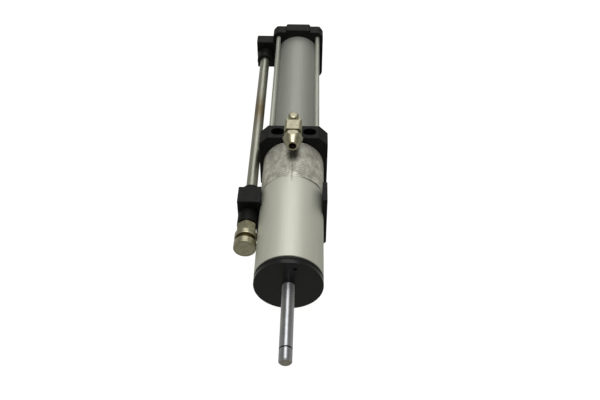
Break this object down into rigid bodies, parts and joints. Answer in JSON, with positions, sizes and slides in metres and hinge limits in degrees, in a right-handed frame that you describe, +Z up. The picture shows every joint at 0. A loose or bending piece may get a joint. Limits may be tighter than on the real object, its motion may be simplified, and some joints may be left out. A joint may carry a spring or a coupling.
{
  "type": "pneumatic cylinder",
  "caption": "Tie-rod pneumatic cylinder with a round spring housing in front, side transfer pipe, exhaust silencer and swivel elbow fitting.",
  "frame": {"origin": "on the middle head's lower face, midway between its two bolt holes", "axes": "-Y along the piston rod as it comes out, +Y towards the rear cap, +Z up through the elbow fitting, -X towards the transfer pipe"},
  "size_m": [0.0933, 0.512, 0.0983],
  "materials": {
    "black_cast": "die-cast aluminium under a thin black baked coat with fine orange peel",
    "black_cap": "turned and black anodised, semi-gloss",
    "satin_tube": "satin anodised drawn tube",
    "barrel_tube": "satin anodised drawn barrel",
    "foil": "thin embossed foil, crinkled",
    "chrome_rod": "ground and hard-chromed",
    "zinc_steel": "bright zinc plate",
    "pipe_steel": "drawn steel with light brown staining",
    "nickel_brass": "nickel-plated brass, warm and slightly dull",
    "bronze": "sintered bronze",
    "rubber": "nitrile rubber",
    "spring_steel": "spring steel, lightly oiled",
    "black_steel": "black oxide",
    "turned_aluminium": "as turned",
    "guide_plastic": "filled acetal",
    "magnet": "bonded ferrite",
    "copper_washer": "copper sealing washer"
  },
  "bodies": {
    "cylinder": {"middle_head": "black_cast", "rod_bush": "bronze", "rod_seal": "rubber", "seal_circlip": "black_steel", "housing_seal": "rubber", "barrel_seals": "rubber", "spring_housing": "satin_tube", "front_cap": "black_cap", "front_cap_oring": "rubber", "front_bush": "bronze", "rod_wiper": "rubber", "name_band": "foil", "saddle": "black_cast", "saddle_screws": "zinc_steel", "barrel_tube": "barrel_tube", "rear_cap": "black_cast", "tie_rods": "zinc_steel", "tie_rod_washers": "zinc_steel", "tie_rod_nuts": "zinc_steel", "return_spring": "spring_steel", "front_port_block": "black_cast", "rear_port_block": "black_cast", "port_block_seals": "rubber", "port_block_screws": "black_steel", "transfer_pipe": "pipe_steel", "pipe_seals": "rubber", "silencer_washer": "copper_washer", "silencer_body": "nickel_brass", "silencer_element": "bronze", "elbow_washer": "copper_washer", "elbow_stem": "nickel_brass", "elbow_snap_ring": "black_steel", "elbow_oring": "rubber"},
    "spring_plate": {"spring_seat": "turned_aluminium"},
    "rod": {"piston_rod": "chrome_rod", "piston": "turned_aluminium", "piston_seals": "rubber", "guide_ring": "guide_plastic", "magnet_ring": "magnet", "stop_tube": "turned_aluminium", "buffers": "rubber", "piston_nut": "zinc_steel", "seat_circlip": "black_steel"},
    "throttle_ring": {"throttle_ring": "rubber"},
    "silencer_cap": {"silencer_cap": "nickel_brass"},
    "elbow": {"elbow_body": "nickel_brass"},
    "ferrule": {"elbow_ferrule": "nickel_brass"},
    "elbow_nut": {"elbow_nut": "nickel_brass"}
  },
  "joints": [
    {"name": "rod_slide", "type": "slide", "parent": "cylinder", "child": "spring_plate", "axis": [0, -1, 0], "range_m": [0, 0.08], "deforming": ["return_spring"]},
    {"name": "rod_turn", "type": "hinge", "parent": "spring_plate", "child": "rod", "pos_m": [0, -0.032, 0.0375], "axis": [0, -1, 0], "continuous": true},
    {"name": "throttle_travel", "type": "slide", "parent": "cylinder", "child": "throttle_ring", "axis": [0, -1, 0], "range_m": [-0.00401, 0.00201]},
    {"name": "throttle_turn", "type": "hinge", "parent": "throttle_ring", "child": "silencer_cap", "pos_m": [-0.0445, -0.1355, 0.0375], "axis": [0, -1, 0], "range_deg": [-1440, 720]},
    {"name": "elbow_swivel", "type": "hinge", "parent": "cylinder", "child": "elbow", "pos_m": [0, 0, 0.081], "axis": [0, 0, 1], "continuous": true},
    {"name": "union_travel", "type": "slide", "parent": "elbow", "child": "ferrule", "axis": [0, -1, 0], "range_m": [0, 0.00401]},
    {"name": "union_turn", "type": "hinge", "parent": "ferrule", "child": "elbow_nut", "pos_m": [0, -0.031, 0.0879], "axis": [0, -1, 0], "range_deg": [0, 1440]}
  ],
  "couplings": [
    {"joint": "throttle_travel", "follows": "throttle_turn", "m_per_rad": 0.00015915},
    {"joint": "union_travel", "follows": "union_turn", "m_per_rad": 0.00015915}
  ]
}
